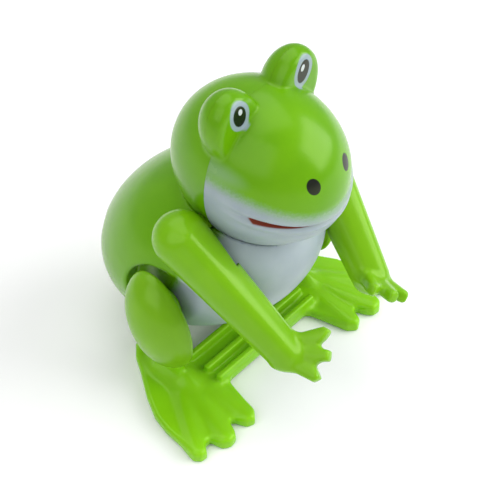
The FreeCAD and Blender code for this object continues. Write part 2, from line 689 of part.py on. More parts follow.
def mainspring():
    """A flat spiral of half circles whose last turn runs out to a motor pillar."""
    strip, inner, pitch, half_turns = 0.22, 1.45, 0.52, 17
    start, width = -5.6, 3.6
    main, post = position(MAIN), position(PILLARS[1])
    offset = (post[0] - main[0], post[1] - main[1])
    distance = math.hypot(*offset)
    last = inner + pitch / 2 * (half_turns - 1)
    beside = last + PILLAR_RADIUS + strip / 2 + 0.04
    tail = math.sqrt(distance ** 2 - beside ** 2) + 1.0
    turned = math.atan2(offset[1], offset[0]) - math.acos(beside / distance) - math.pi
    edges = []
    for side in (-strip / 2, strip / 2):
        for half in range(half_turns):
            centre = Vector(pitch / 2 * (half % 2), 0, 0)
            circle = Part.Circle(centre, Vector(0, 0, 1), inner + pitch / 2 * half + side)
            begin = math.pi * (half % 2)
            edges.append(Part.Arc(circle, begin, begin + math.pi).toShape())
        end = Vector(-last - side, 0, 0)
        edges.append(Part.LineSegment(end, end - Vector(0, tail, 0)).toShape())
    edges.append(Part.LineSegment(Vector(inner - strip / 2, 0, 0), Vector(inner + strip / 2, 0, 0)).toShape())
    edges.append(Part.LineSegment(Vector(-last + strip / 2, -tail, 0), Vector(-last - strip / 2, -tail, 0)).toShape())
    wire = Part.Wire(Part.__sortEdges__(edges))
    spring = Part.Face(wire).extrude(Vector(0, 0, width))
    # local x and y become +Y and +Z, and the width runs along +X
    upright = Rotation(Vector(0, 1, 0), Vector(0, 0, 1), Vector(1, 0, 0), "XYZ")
    spring.Placement = Placement(Vector(start, 0, 0), Rotation(Vector(1, 0, 0), math.degrees(turned)) * upright)
    return shaped("mainspring", Part.makeCompound([spring]), *main)


def train_phases():
    """The angle of one tooth of each gear, so that every pair is in mesh."""
    great, wheel, pinion = int(size("great_teeth")), int(size("wheel_teeth")), int(size("pinion_teeth"))
    second = meshed_phase(great, 0.0, math.radians(size("second_angle")), pinion)
    cam = meshed_phase(wheel, second, math.radians(size("cam_angle")), pinion)
    star = meshed_phase(wheel, cam, math.radians(size("star_angle")), pinion)
    return second, cam, star


def second_wheel():
    phase = train_phases()[0]
    hole = size("arbor_radius")
    pinion = gear(int(size("pinion_teeth")), SECOND_PINION_START, PINION_THICK + 0.1, hole, phase, PINION_ADDENDUM)
    hub_start = SECOND_PINION_START + PINION_THICK
    hub = tube(hub_start, SECOND_WHEEL_START - hub_start + 0.1, 1.4).cut(tube(hub_start - 1, 4, hole))
    wheel = gear(int(size("wheel_teeth")), SECOND_WHEEL_START, WHEEL_THICK, hole, phase, WHEEL_ADDENDUM)
    wheel = spokes(wheel, 5, 3.6, 0.95, SECOND_WHEEL_START, WHEEL_THICK)
    return shaped("second_wheel", pinion.fuse([hub, wheel]).removeSplitter(), *position(SECOND))


def third_wheel():
    """The wheel beside the cam, with its hub."""
    phase = train_phases()[1]
    hole = size("arbor_radius")
    wheel = gear(int(size("wheel_teeth")), THIRD_WHEEL_START, WHEEL_THICK, hole, phase, WHEEL_ADDENDUM)
    wheel = spokes(wheel, 5, 3.6, 0.95, THIRD_WHEEL_START, WHEEL_THICK)
    hub_start = THIRD_WHEEL_START + WHEEL_THICK - 0.1
    hub = tube(hub_start, CAM_START - hub_start, 1.5).cut(tube(hub_start - 1, 4, hole))
    return shaped("third_wheel", wheel.fuse(hub).removeSplitter(), *position(CAM))


def cam_pinion():
    phase = train_phases()[1]
    hole = size("arbor_radius")
    pinion = gear(int(size("pinion_teeth")), CAM_PINION_START, PINION_THICK, hole, phase, PINION_ADDENDUM)
    hub_start = CAM_START + CAM_THICK
    hub = tube(hub_start, CAM_PINION_START - hub_start + 0.1, 1.4).cut(tube(hub_start - 1, 6, hole))
    return shaped("cam_pinion", pinion.fuse(hub).removeSplitter(), *position(CAM))


def jump_cam():
    """A snail: its radius grows steadily for one turn and then drops at the step."""
    low, high = size("cam_low"), size("cam_high")
    hip, cam = position(HIP), position(CAM)
    pin = follower_place(0)
    heading = math.atan2(hip[1] + pin[1] - cam[1], hip[0] + pin[0] - cam[0])
    clear = size("follower_radius") + 0.25
    step_angle = heading + math.asin(clear / low)
    samples = 60
    points = [(low + (high - low) * index / samples, step_angle - 2 * math.pi * index / samples)
              for index in range(samples + 1)]
    disc = toothed_disc(points, CAM_START, CAM_THICK, size("arbor_radius"))
    return shaped("jump_cam", disc, *cam)


def star_wheel():
    """The escape wheel: a ten-tooth star with its pinion."""
    phase = train_phases()[2]
    hole = size("arbor_radius")
    pinion = gear(int(size("pinion_teeth")), STAR_PINION_START, PINION_THICK, hole, phase, PINION_ADDENDUM)
    hub_start = STAR_PINION_START + PINION_THICK - 0.1
    hub = tube(hub_start, STAR_START - hub_start + 0.1, 1.1).cut(tube(hub_start - 1, 6, hole))
    heading = math.radians(size("pallet_angle"))
    points = []
    for tooth in range(STAR_TEETH):
        middle = heading + math.pi * (2 * tooth + 1) / STAR_TEETH
        points += [(1.7, middle - 0.26), (STAR_TIP, middle - 0.07), (STAR_TIP, middle + 0.07), (1.7, middle + 0.26)]
    star = toothed_disc(points, STAR_START, WHEEL_THICK, hole)
    return shaped("star_wheel", pinion.fuse([hub, star]).removeSplitter(), *position(STAR))


STAR_TIP = 2.28


def pallet():
    """The rocking anchor whose two pads check the star wheel."""
    body = design_body("pallet", *PALLET)
    profile = sketch(body, "anchor_outline", offset=str(STAR_START))
    towards_star = math.radians(size("pallet_angle")) + math.pi
    along = (math.cos(towards_star), math.sin(towards_star))
    across = (-along[1], along[0])
    half = [(-1.6, 0.0), (-1.3, 1.1), (0.2, 1.4), (1.4, 2.1), (3.3, 3.3), (3.9, 2.7), (3.4, 2.45), (2.2, 1.55),
            (1.25, 0.7)]
    plan = half + [(1.2, 0.0)] + [(reach, -aside) for reach, aside in reversed(half[1:])]
    outline(profile, [(reach * along[0] + aside * across[0], reach * along[1] + aside * across[1])
                      for reach, aside in plan])
    pad(body, profile, "anchor", str(WHEEL_THICK))
    bore(body, "arbor_bore", "Dims.arbor_radius")
    return body


# ---------------------------------------------------------------- motor frame

def on_plate(along, across):
    """Expressions for a point given along and across the leaning motor plates."""
    lean = "Dims.torso_lean"
    return (f"{FRAME_Y} + Dims.torso_y - ({along}) * sin({lean}) + ({across}) * cos({lean})",
            f"Dims.torso_z + ({along}) * cos({lean}) + ({across}) * sin({lean})")


PILLARS = [on_plate(0.6, -8.2), on_plate(-13.2, -4.0), on_plate(16.0, 1.8)]
PILLAR_RADIUS = 1.2
PILLAR_SCREW_RADIUS = 0.6
PILLAR_SCREW_DEPTH = 3.0


def motor_plate(side):
    """A rounded plate that leans with the torso, with a bore for every arbor."""
    body = doc.addObject("PartDesign::Body", f"motor_plate_{side}")
    body.Placement = Placement(Vector(), Rotation(Vector(1, 0, 0), size("torso_lean")))
    place(body, "0", f"{FRAME_Y} + Dims.torso_y", "Dims.torso_z")
    start = "Dims.plate_gap_half" if side == "left" else "-Dims.plate_gap_half - Dims.plate_thick"
    profile = sketch(body, "plate_outline", offset=start)
    rounded_rectangle(profile, size("plate_half_wide"), size("plate_half_long"), size("plate_corner"))
    pad(body, profile, "plate", "Dims.plate_thick")
    doc.recompute()
    bearings = [(MAIN, "Dims.main_radius"), (HIP, "Dims.hip_axle_radius")]
    bearings += [(place_of, "Dims.arbor_radius") for place_of in (SECOND, CAM, STAR, PALLET)]
    bearings += [(place_of, str(PILLAR_SCREW_RADIUS)) for place_of in PILLARS]
    centre = (size("frame_y") + size("torso_y"), size("torso_z"))
    lean = math.radians(size("torso_lean"))
    for index, (place_of, radius) in enumerate(bearings):
        y, z = position(place_of)
        y, z = y - centre[0], z - centre[1]
        local = (y * math.cos(lean) + z * math.sin(lean), -y * math.sin(lean) + z * math.cos(lean))
        bore(body, f"bearing_{index}", f"{radius} + Dims.running_gap", str(local[0]), str(local[1]))
    return body


def rounded_rectangle(item, half_width, half_height, corner):
    inner_w, inner_h = half_width - corner, half_height - corner
    corners = [(inner_w, inner_h, 0), (-inner_w, inner_h, 90), (-inner_w, -inner_h, 180), (inner_w, -inner_h, 270)]
    ends = []
    for across, along, begin in corners:
        circle = Part.Circle(Vector(across, along, 0), Vector(0, 0, 1), corner)
        arc = Part.ArcOfCircle(circle, math.radians(begin), math.radians(begin + 90))
        item.addGeometry(arc)
        ends.append((arc.StartPoint, arc.EndPoint))
    for index in range(4):
        item.addGeometry(Part.LineSegment(ends[index][1], ends[(index + 1) % 4][0]))
    for index in range(8):
        item.addConstraint(Sketcher.Constraint("Block", index))


def motor_pillars():
    solids = []
    half = size("plate_gap_half")
    for post in PILLARS:
        y, z = position(post)
        pillar = tube(-half, 2 * half, PILLAR_RADIUS, y, z)
        for start in (-half - 1, half - PILLAR_SCREW_DEPTH):
            pillar = pillar.cut(tube(start, PILLAR_SCREW_DEPTH + 1, PILLAR_SCREW_RADIUS, y, z))
        solids.append(pillar)
    return shaped("motor_pillars", Part.makeCompound(solids))


def motor_screws():
    """Six pan-head screws, one at each end of every pillar."""
    solids = []
    outer = size("plate_gap_half") + size("plate_thick")
    for post in PILLARS:
        y, z = position(post)
        shank = tube(outer - size("plate_thick") - PILLAR_SCREW_DEPTH + 0.2,
                     PILLAR_SCREW_DEPTH + size("plate_thick"), PILLAR_SCREW_RADIUS, y, z)
        head = tube(outer, 0.8, 1.25, y, z)
        slot = Part.makeBox(0.5, 0.4, 4, Vector(outer + 0.45, y - 0.2, z - 2))
        screw = shank.fuse(head).cut(slot).removeSplitter()
        solids += [screw, screw.mirror(Vector(), Vector(1, 0, 0))]
    return shaped("motor_screws", Part.makeCompound(solids))


def arbors():
    reach = "Dims.plate_gap_half + Dims.plate_thick"
    made = [rod(name, f"-({reach})", f"2 * ({reach})", "Dims.arbor_radius", *place_of)
            for name, place_of in (("second_arbor", SECOND), ("cam_arbor", CAM), ("star_arbor", STAR),
                                   ("pallet_arbor", PALLET))]
    winding = rod("winding_arbor", f"-({reach})", f"{reach} + Dims.knob_start + 3.5", "Dims.main_radius", *MAIN)
    return made + [winding]


def winding_knob():
    """A round knob with finger grooves and a blind bore for the winding arbor."""
    body = design_body("winding_knob", *MAIN)
    rim = sketch(body, "rim", offset="Dims.knob_start")
    ring(rim, "rim", "Dims.knob_radius")
    pad(body, rim, "disc", "Dims.knob_thick")
    doc.recompute()
    groove = sketch(body, "groove", offset="Dims.knob_start")
    ring(groove, "groove", "0.8", "Dims.knob_radius + 0.35")
    cutter = body.newObject("PartDesign::Pocket", "grip_groove")
    cutter.Profile = groove
    cutter.Type = 1
    cutter.Midplane = True
    doc.recompute()
    pattern = body.newObject("PartDesign::PolarPattern", "grip_grooves")
    pattern.Originals = [cutter]
    axis = [feature for feature in body.Origin.OriginFeatures if feature.Role == "X_Axis"][0]
    pattern.Axis = (axis, [""])
    pattern.Angle = 360
    pattern.Occurrences = 12
    body.Tip = pattern
    doc.recompute()
    socket = sketch(body, "socket", offset="Dims.knob_start")
    ring(socket, "socket", "Dims.main_radius")
    blind = body.newObject("PartDesign::Pocket", "arbor_socket")
    blind.Profile = socket
    blind.Reversed = True
    bind(blind, Length="3.5")
    return body


def jump_spring():
    """A torsion spring round the hip axle: one leg on a motor pillar, the other behind the leg lever."""
    wire, coil, pitch, start, gap = 0.25, 1.75, 0.62, 0.9, 0.06
    hip, post = position(HIP), position(PILLARS[0])
    pin = follower_place(0)
    arm_heading = math.atan2(pin[1], pin[0])

    def polar(radius, heading):
        return (radius * math.cos(heading), radius * math.sin(heading))

    def beside(point, heading, offset):
        return (point[0] - offset * math.sin(heading), point[1] + offset * math.cos(heading))

    push = beside(polar(4.6, arm_heading), arm_heading, -(1.1 + wire + gap))
    post_heading = math.atan2(post[1] - hip[1], post[0] - hip[0])
    slant = 1.35  # the leg crosses the pillar's side at a slant, so it stands further off
    react = beside((post[0] - hip[0], post[1] - hip[1]), post_heading, (PILLAR_RADIUS + wire + gap) * slant)

    def tangent_start(point, sign):
        reach = math.hypot(*point)
        return math.atan2(point[1], point[0]) + sign * math.acos(coil / reach)

    first = tangent_start(push, 1)
    last = tangent_start(react, -1)
    turn = (last - first) % (2 * math.pi) + 8 * math.pi
    height = pitch * turn / (2 * math.pi)
    helix = Part.makeHelix(pitch, height, coil)
    profile = Part.Wire(Part.makeCircle(wire, Vector(coil, 0, 0), Vector(0, 1, 0)))
    spring = Part.Wire(helix.Edges).makePipeShell([profile], True, True)
    # the helix starts a quarter turn behind +Y once its axis lies along +X
    turned = Rotation(Vector(1, 0, 0), math.degrees(first) + 90) * Rotation(Vector(0, 1, 0), 90)
    spring.Placement = Placement(Vector(start, 0, 0), turned)

    def wire_between(begin, end):
        return Part.makeCylinder(wire, begin.distanceToPoint(end), begin, end - begin)

    push_start = Vector(start, *polar(coil, first))
    push_end = Vector(start, *push)
    react_start = Vector(start + height, *polar(coil, last))
    react_end = Vector(start + height, react[0] * 1.25 - 0.25 * react_start.y, react[1] * 1.25 - 0.25 * react_start.z)
    hook_end = Vector(LEVER_START + 0.4, *push)
    pieces = [wire_between(push_start, push_end), Part.makeSphere(wire, push_end), wire_between(push_end, hook_end),
              wire_between(react_start, react_end), Part.makeSphere(wire, push_start),
              Part.makeSphere(wire, react_start)]
    return shaped("jump_spring", spring.fuse(pieces).removeSplitter(), *hip)


# ---------------------------------------------------------------- build, check and write

def build():
    made = []
    made += torso_shells()
    made += head_shells()
    made += [case_screws()]
    made += arms()
    made += thighs()
    made += [feet_and_crossbar(), hip_axle(), leg_lever(), jump_spring()]
    made += [motor_plate("left"), motor_plate("right"), motor_pillars(), motor_screws()]
    made += arbors()
    made += [great_wheel(), ratchet_wheel(), click(), click_pin(), mainspring(), winding_knob()]
    made += [second_wheel(), third_wheel(), cam_pinion(), jump_cam(), star_wheel(), pallet()]
    doc.recompute()
    return made


def check_document(nodes):
    for item in doc.Objects:
        if "Invalid" in item.State or "Error" in item.State:
            raise RuntimeError(f"{item.Name} failed: {item.State}")
    for node in nodes:
        if node.Shape.isNull() or not node.Shape.isValid() or not node.Shape.Solids:
            raise RuntimeError(f"{node.Name} has no valid solid")


def write_parts(nodes):
    os.makedirs("parts", exist_ok=True)
    for node in nodes:
        node.Label = node.Name
        node.Shape.exportStep(f"parts/{node.Label}.step")
        print(node.Label, len(node.Shape.Solids), "solid", round(node.Shape.Volume, 1), "mm3")


nodes = build()
check_document(nodes)
write_parts(nodes)
box = Part.makeCompound([node.Shape for node in nodes]).optimalBoundingBox(False)
print("box", [round(value, 2) for value in (box.XMin, box.XMax, box.YMin, box.YMax, box.ZMin, box.ZMax)])
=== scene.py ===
"""Wind-up jumping frog: moulded plastic shells, legs and arms round the CAD clockwork."""

import math

import bmesh
import bpy
import numpy as np
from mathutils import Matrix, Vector


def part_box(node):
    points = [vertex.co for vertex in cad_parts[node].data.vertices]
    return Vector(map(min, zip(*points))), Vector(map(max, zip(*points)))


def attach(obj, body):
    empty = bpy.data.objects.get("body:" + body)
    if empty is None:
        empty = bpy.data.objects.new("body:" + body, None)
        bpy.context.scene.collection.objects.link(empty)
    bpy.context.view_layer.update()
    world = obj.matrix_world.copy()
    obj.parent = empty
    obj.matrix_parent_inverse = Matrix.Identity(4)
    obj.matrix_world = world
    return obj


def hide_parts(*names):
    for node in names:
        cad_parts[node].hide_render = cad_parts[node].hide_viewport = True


MM = 0.001

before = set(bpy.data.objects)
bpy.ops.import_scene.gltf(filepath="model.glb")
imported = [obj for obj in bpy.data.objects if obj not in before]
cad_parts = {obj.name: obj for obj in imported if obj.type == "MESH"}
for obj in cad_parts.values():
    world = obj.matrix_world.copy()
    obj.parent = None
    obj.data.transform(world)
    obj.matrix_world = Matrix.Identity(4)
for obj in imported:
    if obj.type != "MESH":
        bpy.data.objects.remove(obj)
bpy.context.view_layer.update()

# The forms below are in millimetres, from a point on the floor just in front of the hip axle.
axle_low, axle_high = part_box("hip_axle")
HIP_Y, HIP_Z = 5.5, 21.0
ORIGIN = np.array((axle_low + axle_high) / 2) / MM - np.array([0.0, HIP_Y, HIP_Z])


# ---------------------------------------------------------------- distance fields

def about_x(degrees):
    turn = math.radians(degrees)
    cos, sin = math.cos(turn), math.sin(turn)
    return np.array([[1, 0, 0], [0, cos, -sin], [0, sin, cos]])


def about_y(degrees):
    turn = math.radians(degrees)
    cos, sin = math.cos(turn), math.sin(turn)
    return np.array([[cos, 0, sin], [0, 1, 0], [-sin, 0, cos]])


def both_sides(points):
    """The same points, all moved to the frog's left side."""
    return np.column_stack((np.abs(points[:, 0]), points[:, 1], points[:, 2]))


def ellipsoid(points, centre, radii, turned=np.eye(3)):
    local = (points - centre) @ turned
    near = np.linalg.norm(local / radii, axis=1)
    far = np.linalg.norm(local / np.square(radii), axis=1)
    return near * (near - 1) / np.maximum(far, 1e-9)


def tapered(points, start, end, start_radius, end_radius):
    """A rod with round ends between two points."""
    start, end = np.asarray(start, float), np.asarray(end, float)
    along = end - start
    share = np.clip((points - start) @ along / (along @ along), 0, 1)
    nearest = start + share[:, None] * along
    return np.linalg.norm(points - nearest, axis=1) - (start_radius + share * (end_radius - start_radius))


def cylinder(points, centre, axis, radius):
    axis = np.asarray(axis, float) / np.linalg.norm(axis)
    offset = points - centre
    across = offset - (offset @ axis)[:, None] * axis
    return np.linalg.norm(across, axis=1) - radius


def plane(points, point, normal):
    return (points - point) @ (np.asarray(normal, float) / np.linalg.norm(normal))


def rounded_box(points, low, high, radius):
    low, high = np.asarray(low, float), np.asarray(high, float)
    beyond = np.abs(points - (low + high) / 2) - (high - low) / 2 + radius
    return np.linalg.norm(np.maximum(beyond, 0), axis=1) + np.minimum(beyond.max(1), 0) - radius


def outline_distance(across, along, outline):
    """Signed distance to a closed outline in a plane, negative inside."""
    corners = np.asarray(outline, float)
    best = np.full(len(across), 1e9)
    inside = np.zeros(len(across), bool)
    for (x0, y0), (x1, y1) in zip(corners, np.roll(corners, -1, axis=0)):
        dx, dy = x1 - x0, y1 - y0
        share = np.clip(((across - x0) * dx + (along - y0) * dy) / (dx * dx + dy * dy), 0, 1)
        best = np.minimum(best, np.hypot(across - x0 - share * dx, along - y0 - share * dy))
        if dy:
            inside ^= ((y0 > along) != (y1 > along)) & (across < dx * (along - y0) / dy + x0)
    return np.where(inside, -best, best)


def join(first, second, blend=0.01):
    """Union of two fields with a fillet about as wide as blend."""
    reach = np.maximum(blend - np.abs(first - second), 0) / blend
    return np.minimum(first, second) - reach * reach * blend / 4


def trim(first, second, blend=0.3):
    """Common part of two fields with a rounded edge."""
    return -join(-first, -second, blend)


# ---------------------------------------------------------------- fields to meshes

def grid_values(field, axes):
    values = np.empty([len(axis) for axis in axes])
    across, upwards = np.meshgrid(axes[1], axes[2], indexing="ij")
    for index, x in enumerate(axes[0]):
        sheet = np.column_stack((np.full(across.size, x), across.ravel(), upwards.ravel()))
        values[index] = field(sheet).reshape(across.shape)
    return values


def part_of(array, axis, first, last):
    chosen = [slice(None)] * array.ndim
    chosen[axis] = slice(first, last)
    return array[tuple(chosen)]


# How the meshes are settled on their fields: probe in millimetres, the rest as shares or counts.
PROBE = 0.03
FLATTEST_SLOPE = 0.2
LONGEST_MOVE = 0.5
EVENING = 0.6
SMOOTHING_ROUNDS = SETTLING_ROUNDS = 3


def surface_net(field, low, high, step):
    """Points and quads of the closed surface where the field is zero."""
    axes = [np.arange(a, b + step, step) for a, b in zip(low, high)]
    values = grid_values(field, axes)
    inside = values < 0
    cells = tuple(size - 1 for size in values.shape)
    count = np.zeros(cells)
    total = np.zeros(cells + (3,))
    crossings = []
    for axis in range(3):
        before, after = part_of(values, axis, 0, -1), part_of(values, axis, 1, None)
        entering = part_of(inside, axis, 0, -1)
        crossed = entering != part_of(inside, axis, 1, None)
        share = np.where(crossed, before / np.where(crossed, before - after, 1), 0)
        others = [other for other in range(3) if other != axis]
        counts = [np.arange(size, dtype=float) for size in crossed.shape]
        spot = np.stack(np.meshgrid(*counts, indexing="ij"), -1)
        spot[..., axis] += share
        for first in (0, 1):
            for second in (0, 1):
                window = [slice(None)] * 3
                for other, shift in zip(others, (first, second)):
                    window[other] = slice(shift, values.shape[other] - 1 + shift)
                window = tuple(window)
                count += crossed[window]
                total += spot[window] * crossed[window][..., None]
        crossings.append((axis, others, crossed, entering))
    used = count > 0
    index = np.full(cells, -1)
    index[used] = np.arange(used.sum())
    points = np.array(low, float) + total[used] / count[used][:, None] * step
    quads = []
    for axis, others, crossed, entering in crossings:
        place = np.argwhere(crossed)
        for other in others:
            place = place[(place[:, other] > 0) & (place[:, other] < values.shape[other] - 1)]
        corners = []
        for first, second in ((1, 1), (0, 1), (0, 0), (1, 0)):
            cell = place.copy()
            cell[:, others[0]] -= first
            cell[:, others[1]] -= second
            corners.append(index[tuple(cell.T)])
        faces = np.column_stack(corners)
        outwards = entering[tuple(place.T)] == (axis != 1)
        faces[~outwards] = faces[~outwards][:, ::-1]
        quads.append(faces)
    return points, np.concatenate(quads)


def settle(field, points, step):
    """Move points onto the surface along the field's gradient."""
    for _ in range(SETTLING_ROUNDS):
        value = field(points)
        slope = np.empty_like(points)
        for axis in range(3):
            shift = np.zeros(3)
            shift[axis] = PROBE
            slope[:, axis] = (field(points + shift) - field(points - shift)) / (2 * PROBE)
        steepness = np.maximum(np.square(slope).sum(1), FLATTEST_SLOPE)
        move = np.clip(value / steepness, -LONGEST_MOVE * step, LONGEST_MOVE * step)
        points = points - slope * move[:, None]
    return points


def relax(points, quads):
    """Even out the spacing of the points."""
    total = np.zeros_like(points)
    count = np.zeros(len(points))
    for first, second in ((0, 1), (1, 2), (2, 3), (3, 0)):
        for here, there in ((first, second), (second, first)):
            np.add.at(total, quads[:, here], points[quads[:, there]])
            np.add.at(count, quads[:, here], 1)
    return points * (1 - EVENING) + total / count[:, None] * EVENING


def cut_mesh(mesh, point, normal):
    """Keep what lies behind a plane and close the cut with flat faces that have crisp rims."""
    shape = bmesh.new()
    shape.from_mesh(mesh)
    everything = shape.verts[:] + shape.edges[:] + shape.faces[:]
    cut = bmesh.ops.bisect_plane(shape, geom=everything, plane_co=point, plane_no=normal, clear_outer=True)
    rim = [item for item in cut["geom_cut"] if isinstance(item, bmesh.types.BMEdge)]
    bmesh.ops.triangle_fill(shape, edges=rim, use_beauty=True)
    for edge in rim:
        edge.smooth = False
    bmesh.ops.recalc_face_normals(shape, faces=shape.faces[:])
    shape.to_mesh(mesh)
    shape.free()


def moulding(name, field, low, high, step, material, body, nodes, seam=None):
    """One smooth closed mesh from a field, riding on a body in place of CAD nodes."""
    points, quads = surface_net(field, low, high, step)
    for _ in range(SMOOTHING_ROUNDS):
        points = settle(field, relax(points, quads), step)
    mesh = bpy.data.meshes.new(name)
    mesh.from_pydata(((points + ORIGIN) * MM).tolist(), [], quads.tolist())
    mesh.polygons.foreach_set("use_smooth", [True] * len(mesh.polygons))
    if seam:
        point, normal = np.array(seam[0], float), np.array(seam[1], float)
        cut_mesh(mesh, (point - normal * SEAM_GAP + ORIGIN) * MM, normal)
    mesh.materials.append(material)
    piece = bpy.data.objects.new(name, mesh)
    bpy.context.scene.collection.objects.link(piece)
    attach(piece, body)
    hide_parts(*nodes)
    return piece


# ---------------------------------------------------------------- forms of the head and torso

WALL = 1.25
SEAM_GAP = 0.012

HEAD_CENTRE, HEAD_RADII, HEAD_TIP = (0, -0.9, 46.3), (13.0, 16.1, 14.2), about_x(-10.9)
BUMP_CENTRE, BUMP_RADII, BUMP_LEAN, BUMP_FRONT = (7.0, -1.0, 57.6), (5.2, 4.8, 6.9), about_y(15), -3.3
FACE_SEAM = (0, -0.5, 46.3)
TORSO_CENTRE, TORSO_RADII, TORSO_LEAN = (0, 10.6, 22.6), (19.0, 16.4, 23.8), 54.0
SEAM_POINT, SEAM_NORMAL, SEAM_UP = (0, 3.4, 28.9), (0, 0.902, 0.432), (0, -0.432, 0.902)
ARCH_RADIUS, ARCH_FLOOR = 8.2, 15.9
SHOULDER = np.array([16.4, 1.6, 38.6])
WINDING = (0, 19.55, 22.05)
WINDING_HOLE = 1.3
AXLE, AXLE_ROOM, AXLE_SNUG = (0, HIP_Y, HIP_Z), 1.15, 1.05
PEG_RADIUS, PEG_HOLE, PEG_ROOM = 1.5, 1.65, 1.9
ACROSS = (1, 0, 0)
NECK_ROOM = ((-9, -4.5, 20), (9, 11.5, 39.5))
MOUTH_TOP, MOUTH_BEND, MOUTH_HALF = 46.9, 0.0125, 11.4
PAINT_TOP, PAINT_BEND = 50.8, 0.0175
RELIEF_BACK, RELIEF_FADE, MOUTH_FADE = -6.0, 1.3, 0.4
LIP_RISE, LIP_OFF, LIP_WIDE = 0.42, 0.9, 0.75
JAW_RISE, JAW_BELOW, JAW_WIDE = 0.5, 3.4, 2.4
SLIT_DEEP, SLIT_WIDE, SLIT_FLARE = 0.5, 0.22, 0.022


def head_egg(points):
    return ellipsoid(points, HEAD_CENTRE, HEAD_RADII, HEAD_TIP)


def above_mouth(points):
    """Height above the curved line of the mouth."""
    return points[:, 2] - MOUTH_TOP + MOUTH_BEND * points[:, 1] ** 2


def fading(values, edge, width):
    """1 well below the edge and 0 well above it."""
    return 1 / (1 + np.exp(np.clip((values - edge) / width, -30, 30)))


def swelling(distance, width):
    return np.exp(-(distance / width) ** 2)


def head_form(points):
    """The head with its eye bumps, the relief of the lips and the mouth between them."""
    sided = both_sides(points)
    bump = ellipsoid(sided, BUMP_CENTRE, BUMP_RADII, BUMP_LEAN)
    bump = trim(bump, BUMP_FRONT - points[:, 1], 0.9)
    rise = above_mouth(points)
    front = fading(points[:, 1], RELIEF_BACK, RELIEF_FADE)
    wide = fading(sided[:, 0], MOUTH_HALF, MOUTH_FADE)
    lips = LIP_RISE * swelling(np.abs(rise) - LIP_OFF, LIP_WIDE) * front
    jaw = JAW_RISE * swelling(rise + JAW_BELOW, JAW_WIDE) * front
    slit = SLIT_DEEP * swelling(rise, SLIT_WIDE + SLIT_FLARE * sided[:, 0]) * front * wide
    skull = head_egg(points) - lips - jaw + slit
    return join(skull, bump, 0.5)


def head_shell(points):
    outside = head_form(points)
    hollow = trim(outside, -(head_egg(points) + WALL), 0.2)
    neck = rounded_box(points, *NECK_ROOM, 0.5)
    pegs = cylinder(points, SHOULDER, ACROSS, PEG_ROOM)
    return trim(trim(hollow, -neck, 0.2), -pegs, 0.2)


def torso_egg(points, grow=0.0):
    radii = np.array(TORSO_RADII) + grow
    return ellipsoid(points, TORSO_CENTRE, radii, about_x(TORSO_LEAN))


def leg_arch(points, grow=0.0):
    """The room for a leg beside the torso: an arch over the hip, open downwards."""
    sided = both_sides(points)
    y, z = points[:, 1] - HIP_Y, points[:, 2] - HIP_Z
    over = np.where(z > 0, np.hypot(y, z), np.abs(y)) - ARCH_RADIUS - grow
    return np.maximum(over, ARCH_FLOOR - grow - sided[:, 0])


CASE_SCREWS = ((10.6, -17.0),)
SCREW_DEPTH, SCREW_HEAD_BORE, SCREW_SHANK_BORE = 6.0, 1.8, 0.95
POST_RADIUS, POST_BELOW_SKIN = 2.6, 0.4


def torso_shell(points):
    sided = both_sides(points)
    outside = trim(torso_egg(points), -leg_arch(points), 0.5)
    inside = trim(torso_egg(points, -WALL), -leg_arch(points, WALL), 0.3)
    shell = trim(outside, -inside, 0.2)
    for across, up in CASE_SCREWS:
        foot = np.array(SEAM_POINT) + np.array(SEAM_UP) * up + (across, 0, 0)
        post = cylinder(sided, foot, SEAM_NORMAL, POST_RADIUS)
        post = trim(post, torso_egg(points, -POST_BELOW_SKIN), 0.1)
        behind = plane(points, foot, SEAM_NORMAL)
        bore = np.maximum(cylinder(sided, foot, SEAM_NORMAL, SCREW_HEAD_BORE), SCREW_DEPTH - behind)
        shank = np.maximum(cylinder(sided, foot, SEAM_NORMAL, SCREW_SHANK_BORE), -SCREW_DEPTH - behind)
        shell = trim(trim(join(shell, post, 0.3), -bore, 0.15), -shank, 0.05)
    head_room = SEAM_GAP - head_form(points)
    peg_hole = cylinder(points, SHOULDER, ACROSS, PEG_HOLE)
    bores = np.minimum(cylinder(points, AXLE, ACROSS, AXLE_ROOM), peg_hole)
    winding = np.maximum(cylinder(points, WINDING, ACROSS, WINDING_HOLE), -points[:, 0])
    shell = trim(shell, -np.minimum(bores, winding), 0.15)
    return trim(shell, head_room, 0.3)


# ---------------------------------------------------------------- forms of the limbs

THIGH_CENTRE, THIGH_RADII = (18.5, 4.8, 18.8), (6.0, 6.9, 10.2)
THIGH_LEAN = about_x(-18)
ANKLE = (15.6, 6.0, 1.1)
HEEL = (14.9, 13.6, 1.1)
SOLE_HALF = 1.05
FOOT_OUTLINE = ((13.4, 15.3), (16.4, 15.4), (18.6, 13.2), (20.2, 10.5), (23.8, 5.2), (26.0, 1.0),
                (26.9, -2.5), (27.6, -10.2), (26.9, -11.2), (25.9, -11.3), (25.2, -10.2),
                (24.3, -9.7), (23.3, -10.0), (22.4, -12.2), (21.3, -12.9), (20.0, -12.8),
                (19.2, -11.8), (18.5, -10.3), (17.8, -9.9), (17.0, -10.4), (16.0, -12.2),
                (14.9, -12.7), (13.6, -11.4), (12.3, -7.4), (11.2, -3.0), (10.7, 1.2), (10.6, 5.1),
                (11.6, 11.0))
TOES = ((26.3, -9.9, 1.0), (20.9, -11.5, 1.0), (14.9, -11.3, 1.0))
TOE_ROOT, TOE_TIP, HEEL_ROOT = 1.75, 1.4, 1.9


